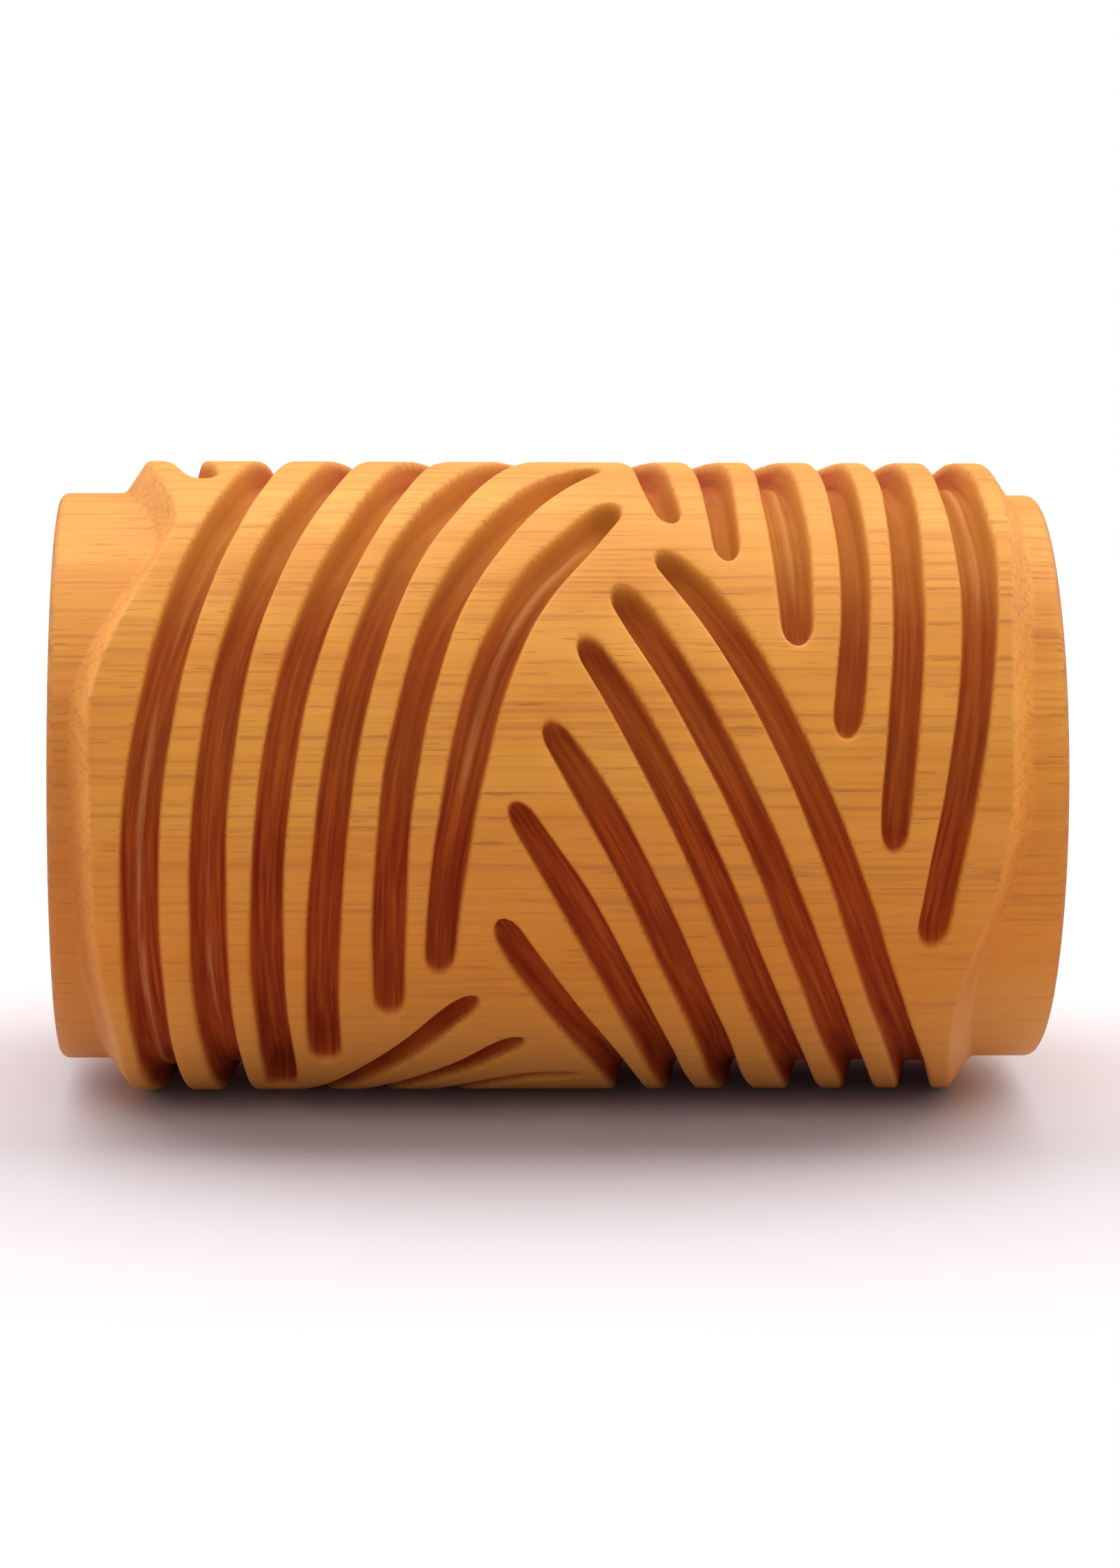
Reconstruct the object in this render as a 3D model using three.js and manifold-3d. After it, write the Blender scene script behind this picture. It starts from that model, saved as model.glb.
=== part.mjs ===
// Clay texture roller: a hand roller turned and carved from one piece of hardwood.
// Millimetres. The roller lies on its side with its axis along X and +Z up.
// The origin is the middle of the axis, and the side that faces -Y is its front.
import * as THREE from "three";
import { mergeVertices } from "three/addons/utils/BufferGeometryUtils.js";
import Module from "manifold-3d";

// Driving sizes of the turned blank
const rollerLength = 88;
const bandDiameter = 57;
const hubStep = 2.9;
const hubLength = 3.9;
const boreDiameter = 9.5;
const endChamfer = 0.8;
const boreChamfer = 1.0;

// Driving sizes of the carving
const shoulderRun = 1.9;
const grooveDepth = 2.6;
const grooveWidth = 3;
const grooveFloorWidth = 1.5;
const endRounding = 2.4;
const stripesAcross = 15;
const restTurn = 12;

// How finely the curved faces are stepped
const facets = 48;
const grooveStep = 5;
const endSteps = 3;
const overcut = 1;

// Sizes that follow from the driving ones
const bandRadius = bandDiameter / 2;
const hubRadius = bandRadius - hubStep;
const boreRadius = boreDiameter / 2;
const bandLength = rollerLength - 2 * hubLength;
const stripe = bandLength / stripesAcross;

// The edges of the raised band, each as [stripes from the middle, degrees up from the front].
// They follow the stripes next to them, so they wander, and a tooth stands out at the left.
const leftEdge = [
  [-7.5, -5], [-7.5, 13], [-7.25, 23], [-6.85, 33], [-6.45, 43], [-6.2, 53], [-6.45, 66],
  [-6.72, 80], [-6.82, 92], [-6.95, 105], [-7.25, 116], [-7.45, 130], [-7.45, 160],
  [-7.3, 190], [-7.05, 215], [-6.85, 240], [-6.9, 264], [-7.05, 284], [-7.2, 307], [-7.4, 325],
];
const rightEdge = [
  [7.25, 15], [7.4, 47], [7.33, 80], [7.2, 95], [7.2, 112], [7.4, 135], [7.5, 170], [7.5, 205],
  [7.35, 232], [7.05, 256], [6.75, 278], [6.5, 315], [6.95, 336], [7.2, 350],
];

// The grooves, each through [stripes from the middle, degrees up from the front, share of the
// groove width]. Angles run on past 360 degrees where a groove goes more than once round.
// The first six come down the right of the front, and go over the top and round the back.
const grooves = [
  [
    [1.9, 51, 0.7], [1.72, 64, 0.9], [1.6, 78, 0.95], [1.35, 90, 1], [0.85, 101, 1],
    [0.1, 111, 1], [-0.75, 121, 1], [-1.6, 131, 1], [-2.4, 142, 1], [-3.2, 156, 1],
    [-3.95, 172, 1], [-4.6, 190, 1], [-5.2, 212, 1], [-5.75, 236, 1], [-6.15, 262, 1],
    [-6.4, 282, 1.1], [-6.62, 307, 1.15], [-6.74, 334, 1.15], [-6.65, 358, 1.15],
    [-6.3, 380, 1.1], [-5.82, 399, 1.1], [-5.1, 424, 1.05], [-4.76, 440, 1], [-4.55, 450, 1],
    [-4.42, 460, 1], [-4.3, 472, 1], [-4.28, 486, 1], [-4.42, 503, 1], [-4.75, 525, 1],
  ],
  [
    [2.77, 41, 0.75], [2.72, 58, 0.9], [2.65, 76, 1], [2.43, 90, 1], [1.93, 102, 1],
    [1.2, 113, 1], [0.35, 124, 1], [-0.5, 135, 1], [-1.3, 147, 1], [-2.1, 161, 1],
    [-2.85, 177, 1], [-3.5, 194, 1], [-4.1, 213, 1], [-4.65, 234, 1], [-5.05, 256, 1],
    [-5.22, 274, 1], [-5.38, 290, 1.05], [-5.58, 312, 1.1], [-5.64, 334, 1.1],
    [-5.57, 358, 1.05], [-5.2, 382, 1], [-4.74, 399, 1], [-3.9, 424, 1], [-3.52, 440, 1],
    [-3.26, 450, 1], [-2.98, 460, 1], [-2.8, 472, 1], [-2.76, 482, 1], [-2.85, 492, 1],
  ],
  [
    [3.82, 23, 1], [3.79, 45, 1.15], [3.73, 62, 1.15], [3.68, 77, 1.1], [3.52, 90, 1],
    [3.03, 103, 1], [2.3, 115, 1], [1.45, 127, 1], [0.6, 139, 1], [-0.2, 152, 1],
    [-1, 167, 1], [-1.75, 183, 1], [-2.4, 200, 1], [-3, 218, 1], [-3.55, 237, 1],
    [-3.93, 255, 1], [-4, 270, 1], [-3.5, 282, 0.95], [-3, 292, 0.9], [-2.25, 304, 0.85],
    [-1.72, 312, 0.8], [-1.3, 317, 0.75],
  ],
  [
    [4.55, 6, 0.9], [4.66, 17, 0.9], [4.8, 36, 0.9], [4.78, 56, 0.9], [4.7, 76, 0.95],
    [4.58, 90, 1], [4.12, 104, 1], [3.4, 117, 1], [2.55, 130, 1], [1.7, 143, 1],
    [0.9, 157, 1], [0.15, 172, 1], [-0.6, 188, 1], [-1.25, 205, 1], [-1.85, 223, 1],
    [-2.42, 241, 1], [-2.86, 257, 1], [-2.98, 270, 1], [-2.6, 280, 0.9], [-2.1, 287, 0.85],
    [-1.35, 296, 0.8], [-0.85, 302, 0.8], [-0.5, 305, 0.75],
  ],
  [
    [5.32, -14, 0.7], [5.36, -5, 0.9], [5.48, 9, 0.95], [5.64, 30, 0.95], [5.68, 55, 0.95],
    [5.64, 75, 0.95], [5.5, 90, 1], [5.2, 104, 1], [4.52, 119, 1], [3.7, 133, 1],
    [2.85, 146, 1], [2.05, 160, 1], [1.25, 175, 1], [0.5, 191, 1], [-0.15, 208, 1],
    [-0.75, 226, 1], [-1.32, 244, 1], [-1.76, 258, 1], [-1.8, 270, 1], [-1.35, 280, 0.9],
    [-0.5, 288, 0.8], [0.5, 290, 0.75],
  ],
  [
    [5.98, -32, 0.9], [6.18, -17, 0.95], [6.43, -2, 1], [6.64, 13, 1], [6.78, 30, 1.1],
    [6.81, 45, 1.2], [6.72, 62, 1.2], [6.66, 77, 1.1], [6.54, 90, 1], [6.3, 104, 1],
    [5.72, 119, 1], [4.95, 133, 1], [4.1, 147, 1], [3.27, 161, 1], [2.45, 176, 1],
    [1.67, 191, 1], [0.97, 207, 1], [0.42, 223, 1], [-0.02, 238, 1], [-0.35, 250, 1],
  ],
  // These six start beside the last of the sweeping ones, and go under to the right of the back.
  [
    [1.62, 43, 0.7], [2.3, 33, 1], [3.2, 16, 1], [4.28, -10, 1], [5.1, -36, 1],
    [5.8, -62, 1], [6.18, -85, 1], [6.4, -105, 1], [6.6, -128, 1], [6.7, -152, 1],
    [6.65, -175, 1], [6.55, -195, 1], [6.5, -214, 1], [6.52, -234, 1],
  ],
  [
    [0.9, 35, 0.75], [1.3, 28, 1], [2.28, 9, 1], [3.3, -14, 1], [4.2, -40, 1], [4.9, -66, 1],
    [5.25, -86, 1], [5.5, -104, 1], [5.66, -126, 1], [5.7, -148, 1], [5.6, -170, 1],
    [5.45, -190, 1], [5.32, -212, 1],
  ],
  [
    [0.33, 25, 0.75], [1.14, 10, 1], [2.03, -9, 1], [2.81, -29, 1], [3.57, -52, 1],
    [3.98, -68, 1], [4.28, -84, 1], [4.5, -102, 1], [4.65, -120, 1], [4.65, -138, 1],
    [4.52, -156, 1], [4.3, -174, 1], [4.06, -192, 1],
  ],
  [
    [-0.26, 9.5, 0.7], [0.41, -2, 1], [1.22, -18, 1], [1.97, -37, 1], [2.57, -56, 1],
    [2.93, -74, 1], [3.22, -88, 1], [3.45, -104, 1], [3.55, -120, 1], [3.48, -137, 1],
    [3.28, -155, 1], [3, -173, 1],
  ],
  [
    [-0.8, -4.5, 0.7], [0.25, -23, 1], [1.03, -41, 1], [1.6, -57, 1], [1.9, -70, 1],
    [2.17, -84, 1], [2.4, -98, 1], [2.48, -112, 1], [2.43, -126, 1], [2.25, -140, 1],
    [2.05, -153, 1],
  ],
  [
    [-0.98, -26, 0.7], [-0.65, -33, 0.9], [-0.05, -44, 1], [0.55, -56, 1], [0.97, -67, 1],
    [1.27, -80, 1], [1.43, -92, 1], [1.44, -106, 1], [1.3, -122, 1],
  ],
  // These four sweep up the left of the front, and two of them end just over the top.
  [
    [-4.5, -80, 0.9], [-4.52, -68, 1], [-4.58, -57, 1], [-4.7, -36, 1], [-4.65, -12, 1],
    [-4.4, 10, 1], [-3.98, 27, 1], [-3.16, 51, 1], [-2.68, 65, 1.05], [-2.25, 80, 1],
    [-1.9, 90, 1], [-1.52, 101, 1], [-1.3, 111, 1],
  ],
  [
    [-3.75, -63.5, 0.9], [-3.8, -53, 1], [-3.82, -40, 1], [-3.78, -24, 1], [-3.6, -2, 1], [-3.2, 19, 1],
    [-2.58, 40, 1], [-1.77, 59, 1.05], [-1.2, 72, 1], [-0.7, 84, 1], [-0.25, 96, 0.9],
  ],
  [
    [-2.73, -48, 0.9], [-2.75, -28, 1], [-2.67, -8, 1], [-2.38, 11, 1], [-1.87, 30, 1],
    [-1.05, 48, 1], [-0.13, 64, 1], [0.76, 76, 0.8],
  ],
  [
    [-1.95, -37.7, 0.9], [-1.81, -17, 1.05], [-1.52, 2, 1.15], [-1.03, 21, 1.2], [-0.38, 35.5, 1.2],
    [0.33, 46, 1.15], [1, 57, 0.95],
  ],
  // One starts behind the tooth, and one lies beside it on the back.
  [
    [-5.75, 68, 0.95], [-5.95, 78, 1.1], [-6.18, 90, 1.15], [-6.17, 101, 1.05], [-5.88, 114, 1],
    [-5.58, 128, 1], [-5.46, 142, 1], [-5.6, 158, 1], [-5.84, 178, 1], [-6.06, 196, 1],
    [-6.2, 210, 1],
  ],
  [
    [-6.7, 121, 1], [-6.52, 133, 1], [-6.48, 147, 1], [-6.62, 163, 1], [-6.8, 180, 1],
  ],
];

const wasm = await Module();
wasm.setup();

// A closed geometry as a solid that can be joined and cut.
function solidOf(geometry) {
  geometry.deleteAttribute("normal");
  geometry.deleteAttribute("uv");
  const merged = mergeVertices(geometry, 1e-4);
  return new wasm.Manifold(
    new wasm.Mesh({
      numProp: 3,
      vertProperties: merged.attributes.position.array,
      triVerts: new Uint32Array(merged.index.array),
    }),
  );
}

function geometryOf(solid) {
  const mesh = solid.getMesh();
  const geometry = new THREE.BufferGeometry();
  geometry.setAttribute("position", new THREE.BufferAttribute(mesh.vertProperties, 3));
  geometry.setIndex(new THREE.BufferAttribute(mesh.triVerts, 1));
  geometry.computeVertexNormals();
  return geometry;
}

// A point of the roller: along the axis, round from the front and out from the axis.
function onRoller(along, degrees, radius) {
  const angle = THREE.MathUtils.degToRad(degrees + restTurn);
  return new THREE.Vector3(along, -radius * Math.cos(angle), radius * Math.sin(angle));
}

// The turned blank: two hubs and the core between them, with the bore right through.
function turnedCore() {
  const end = rollerLength / 2;
  const half = [
    [boreRadius + boreChamfer, end],
    [hubRadius - endChamfer, end],
    [hubRadius, end - endChamfer],
  ];
  const outer = [...half, ...half.map(([r, x]) => [r, -x]).reverse()];
  const inner = [
    [boreRadius, -end + boreChamfer],
    [boreRadius, end - boreChamfer],
  ];
  const profile = [...outer, ...inner, outer[0]].map(([r, x]) => new THREE.Vector2(r, x));
  const core = new THREE.LatheGeometry(profile.reverse(), facets);
  core.rotateY(THREE.MathUtils.degToRad(180 / facets));
  core.rotateZ(-Math.PI / 2);
  return solidOf(core);
}

// Where an edge of the band lies at an angle, on a smooth closed line through its points.
function edgeLine(points) {
  const around = [-1, 0, 1].flatMap((lap) =>
    points.map(([stripes, degrees]) => new THREE.Vector3(stripes * stripe, degrees + 360 * lap, 0)),
  );
  const sorted = around.sort((a, b) => a.y - b.y);
  const line = new THREE.CatmullRomCurve3(sorted).getPoints(sorted.length * 8);
  return (degrees) => {
    const next = line.findIndex((p) => p.y >= degrees);
    const a = line[next - 1];
    const b = line[next];
    return a.x + ((b.x - a.x) * (degrees - a.y)) / (b.y - a.y);
  };
}

// The raised band, a ring of four-cornered sections with sloping shoulders.
function raisedBand() {
  const left = edgeLine(leftEdge);
  const right = edgeLine(rightEdge);
  const sink = overcut;
  const footRun = (shoulderRun * (hubStep + sink)) / hubStep;
  const positions = [];
  const index = [];
  for (let i = 0; i < facets; i++) {
    const degrees = ((i + 0.5) * 360) / facets - restTurn;
    const section = [
      onRoller(left(degrees) - footRun, degrees, hubRadius - sink),
      onRoller(left(degrees), degrees, bandRadius),
      onRoller(right(degrees), degrees, bandRadius),
      onRoller(right(degrees) + footRun, degrees, hubRadius - sink),
    ];
    section.forEach((p) => positions.push(p.x, p.y, p.z));
    for (let side = 0; side < 4; side++) {
      const a = 4 * i + side;
      const b = 4 * i + ((side + 1) % 4);
      const c = 4 * ((i + 1) % facets) + side;
      const d = 4 * ((i + 1) % facets) + ((side + 1) % 4);
      index.push(a, b, c, b, d, c);
    }
  }
  const ring = new THREE.BufferGeometry();
  ring.setAttribute("position", new THREE.Float32BufferAttribute(positions, 3));
  ring.setIndex(index);
  return solidOf(ring);
}

// The stations of a groove's cutter: where each lies on the unrolled surface, which way is across,
// and how much of the full width it has. The ends are rounded.
function grooveStations(points) {
  const flat = points.map(
    ([stripes, degrees, share]) =>
      new THREE.Vector3(stripes * stripe, THREE.MathUtils.degToRad(degrees) * bandRadius, share),
  );
  const curve = new THREE.CatmullRomCurve3(flat, false, "centripetal");
  curve.arcLengthDivisions = 400;
  const length = curve.getLength();
  const shares = [];
  for (let i = 1; i <= endSteps; i++) {
    const turn = (i / endSteps) * (Math.PI / 2);
    shares.push({ at: endRounding * (1 - Math.cos(turn)), width: Math.sin(turn) });
  }
  const middle = Math.round((length - 2 * endRounding) / grooveStep);
  const stations = [...shares];
  for (let i = 1; i < middle; i++) {
    const at = endRounding + ((length - 2 * endRounding) * i) / middle;
    stations.push({ at, width: 1 });
  }
  shares.reverse().forEach(({ at, width }) => stations.push({ at: length - at, width }));
  return stations.map(({ at, width }) => {
    const place = curve.getPointAt(at / length);
    const tangent = curve.getTangentAt(at / length);
    const across = new THREE.Vector2(-tangent.y, tangent.x).normalize();
    return { place, across, width: width * place.z };
  });
}

// A groove's cutter: a tapered bar along the groove, from above the band down to the floor.
function grooveCutter(points) {
  const topHalf = grooveWidth / 2;
  const floorHalf = grooveFloorWidth / 2;
  const wallRun = (topHalf - floorHalf) / grooveDepth;
  const levels = [
    { radius: bandRadius + overcut, half: topHalf + wallRun * overcut },
    { radius: bandRadius - grooveDepth, half: floorHalf },
  ];
  const stations = grooveStations(points);
  const positions = [];
  const index = [];
  const corner = ({ place, across, width }, { radius, half }, side) => {
    const along = place.x + across.x * half * width * side;
    const round = (place.y + across.y * half * width * side) / bandRadius;
    return onRoller(along, THREE.MathUtils.radToDeg(round), radius);
  };
  stations.forEach((station, i) => {
    const section = [
      corner(station, levels[0], 1),
      corner(station, levels[1], 1),
      corner(station, levels[1], -1),
      corner(station, levels[0], -1),
    ];
    section.forEach((p) => positions.push(p.x, p.y, p.z));
    if (i === 0) return;
    for (let side = 0; side < 4; side++) {
      const a = 4 * (i - 1) + side;
      const b = 4 * (i - 1) + ((side + 1) % 4);
      index.push(a, a + 4, b, b, a + 4, b + 4);
    }
  });
  const last = 4 * (stations.length - 1);
  index.push(0, 1, 3, 1, 2, 3);
  index.push(last, last + 3, last + 1, last + 1, last + 3, last + 2);
  const cutter = new THREE.BufferGeometry();
  cutter.setAttribute("position", new THREE.Float32BufferAttribute(positions, 3));
  cutter.setIndex(index);
  return solidOf(cutter);
}

let carved = turnedCore().add(raisedBand());
for (const points of grooves) {
  carved = carved.subtract(grooveCutter(points));
}

const oiledHardwood = new THREE.MeshStandardMaterial({
  color: "#cf8a45",
  roughness: 0.5,
  metalness: 0,
});

const roller = new THREE.Group();
const carvedRoller = new THREE.Mesh(geometryOf(carved), oiledHardwood);
carvedRoller.name = "carved_roller";
roller.add(carvedRoller);

export default roller;
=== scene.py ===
import math
import random
import bpy
import bmesh
import numpy as np
from mathutils import Matrix, Vector, geometry, kdtree, noise


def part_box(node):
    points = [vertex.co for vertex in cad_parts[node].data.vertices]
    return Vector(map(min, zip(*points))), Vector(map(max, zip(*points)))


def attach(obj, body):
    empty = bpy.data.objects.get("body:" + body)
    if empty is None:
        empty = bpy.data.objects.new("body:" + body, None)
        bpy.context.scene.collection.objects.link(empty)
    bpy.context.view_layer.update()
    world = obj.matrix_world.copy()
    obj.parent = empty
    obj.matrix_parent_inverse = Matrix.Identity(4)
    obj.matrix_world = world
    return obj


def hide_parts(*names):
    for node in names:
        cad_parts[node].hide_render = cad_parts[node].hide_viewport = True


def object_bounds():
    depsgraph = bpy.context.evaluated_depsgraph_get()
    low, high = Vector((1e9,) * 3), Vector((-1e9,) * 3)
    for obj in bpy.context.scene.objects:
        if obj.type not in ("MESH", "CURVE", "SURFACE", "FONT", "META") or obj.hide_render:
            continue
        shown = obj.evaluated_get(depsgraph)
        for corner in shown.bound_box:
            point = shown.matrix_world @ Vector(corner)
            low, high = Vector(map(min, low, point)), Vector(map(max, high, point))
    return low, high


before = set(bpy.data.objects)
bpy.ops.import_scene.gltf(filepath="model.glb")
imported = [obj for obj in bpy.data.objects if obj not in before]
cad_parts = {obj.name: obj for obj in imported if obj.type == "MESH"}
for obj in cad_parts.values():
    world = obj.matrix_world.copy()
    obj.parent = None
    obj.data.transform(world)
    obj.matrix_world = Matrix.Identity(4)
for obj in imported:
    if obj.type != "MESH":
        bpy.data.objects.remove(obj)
cadLow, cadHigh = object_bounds()
nodeLow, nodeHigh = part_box("carved_roller")
print("frame loaded, box", [round(v, 5) for v in (cadHigh - cadLow)])

# Layout is in millimetres and turned to metres when the mesh is made.
toMetres = 0.001
insideBox = 0.01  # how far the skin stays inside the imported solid's box

# options that many nodes share
plus, minus, times = {"operation": "ADD"}, {"operation": "SUBTRACT"}, {"operation": "MULTIPLY"}
over, timesPlus = {"operation": "DIVIDE"}, {"operation": "MULTIPLY_ADD"}
smoothly = {"interpolation_type": "SMOOTHSTEP"}
colour, number = {"data_type": "RGBA"}, {"data_type": "FLOAT"}
offAxisOnly = (0.0, 1.0, 1.0)  # times a place, it leaves the part square to the axis


def linearColour(hexColour):
    # sRGB hex to the linear values that sockets take
    channels = [int(hexColour[i:i + 2], 16) / 255 for i in (1, 3, 5)]
    linear = [c / 12.92 if c <= 0.04045 else ((c + 0.055) / 1.055) ** 2.4 for c in channels]
    return linear + [1.0]


def addNode(tree, kind, settings=None, inputs=None):
    # adds a node, sets its options, then fills or links its sockets, found by name or number
    node = tree.nodes.new(kind)
    for name, value in (settings or {}).items():
        setattr(node, name, value)
    for name, value in (inputs or {}).items():
        found = [socket for socket in node.inputs if socket.enabled and socket.name == name]
        target = found[0] if found else node.inputs[name]
        if isinstance(value, bpy.types.Node):
            value = next(socket for socket in value.outputs if socket.enabled)
        if isinstance(value, bpy.types.NodeSocket):
            tree.links.new(value, target)
        else:
            target.default_value = value
    return node


# Sizes of the roller's body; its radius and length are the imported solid's.
roller = {
    "bandRadius": (nodeHigh.z - nodeLow.z) / 2 / toMetres - insideBox,
    "length": (nodeHigh.x - nodeLow.x) / toMetres - insideBox,
    "bandLength": 80.2,
    "hubStep": 2.9,
    "endRound": 0.8,
    "boreRadius": 4.75,
    "boreChamfer": 1.0,
    "stripesAcross": 15,
    "restTurn": 12.0,  # degrees that the pattern is turned up from level
    "stepsAround": 300,
    # the shoulder, each row as mm out from the band's edge and mm above the band
    "shoulder": [
        (-0.4, 0), (-0.18, -0.03), (0, -0.12), (0.15, -0.29), (0.32, -0.54), (0.72, -1.13),
        (1.14, -1.78), (1.52, -2.34), (1.72, -2.61), (1.9, -2.77), (2.12, -2.87), (2.4, -2.9),
    ],
    # rows of points beyond it, as shares of the way, and as degrees round the broken edge
    "hubRows": (0.35, 0.7, 1.0),
    "edgeRows": (22, 45, 68, 90),
    "faceRows": (0.06, 0.2, 0.35, 0.5, 0.65, 0.8, 0.94, 1.0),
    "mouthRows": (0.15, 0.85, 1.0),
    "boreRows": 9,
}

# The gouge's cuts. Widths are shares of "width", depths are shares of "depth".
carving = {
    "depth": 2.6,
    "width": 3.0,
    "endRun": 2.4,       # how long the rounded end is
    "stationStep": 0.75,
    "endSteps": 8,
    "sideWander": 0.11,  # how far the hand strays to the side, mm
    "widthWander": 0.06,
    "sideRun": 11.0, "widthRun": 7.0,  # mm of cut over which these two change
    "noiseStep": 7.3, "widthNoise": 5,  # keep one groove's wander, and its width's, from another's
    # a narrow cut is a shallow one
    "leastDepth": 0.8, "depthGain": 0.2, "fullWidth": 0.95,
    # two passes leave a low ridge where the groove is wide: width at which it starts, width
    # more at which it is full, how far it reaches to the side, and its height
    "ridge": {"start": 1.02, "run": 0.13, "reach": 0.45, "height": 0.3},
    "crest": {"start": 1.09, "run": 0.06, "reach": 0.3},  # the same for its worn top
    # across the groove from its middle: share of the half width, share of the depth
    "section": [
        (0.0, 1.0), (0.22, 1.0), (0.4, 0.985), (0.54, 0.93), (0.66, 0.8), (0.77, 0.6),
        (0.86, 0.38), (0.94, 0.18), (1.0, 0.07), (1.1, 0.015), (1.2, 0.0),
    ],
}

# The land between the grooves, filled with points about one step apart.
land = {
    "step": 1.15,
    "rowShare": 0.866,  # rows this share of a step apart give even triangles
    "jitter": 0.1,
    "fromLip": 0.4, "fromGroove": 0.5,  # mm that its points keep clear
    "overlap": 12.0,    # mm past one lap at each end, so that the two ends meet
    "joinWithin": 1e-7,
    "seed": 11,
}

# Where the raised band ends: stripes from the middle, degrees up from the front.
leftEdge = [
    (-7.5, -5), (-7.5, 13), (-7.25, 23), (-6.85, 33), (-6.45, 43), (-6.2, 53), (-6.45, 66),
    (-6.72, 80), (-6.82, 92), (-6.95, 105), (-7.25, 116), (-7.45, 130), (-7.45, 160),
    (-7.3, 190), (-7.05, 215), (-6.85, 240), (-6.9, 264), (-7.05, 284), (-7.2, 307), (-7.4, 325),
]
rightEdge = [
    (7.25, 15), (7.4, 47), (7.33, 80), (7.2, 95), (7.2, 112), (7.4, 135), (7.5, 170), (7.5, 205),
    (7.35, 232), (7.05, 256), (6.75, 278), (6.5, 315), (6.95, 336), (7.2, 350),
]

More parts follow.
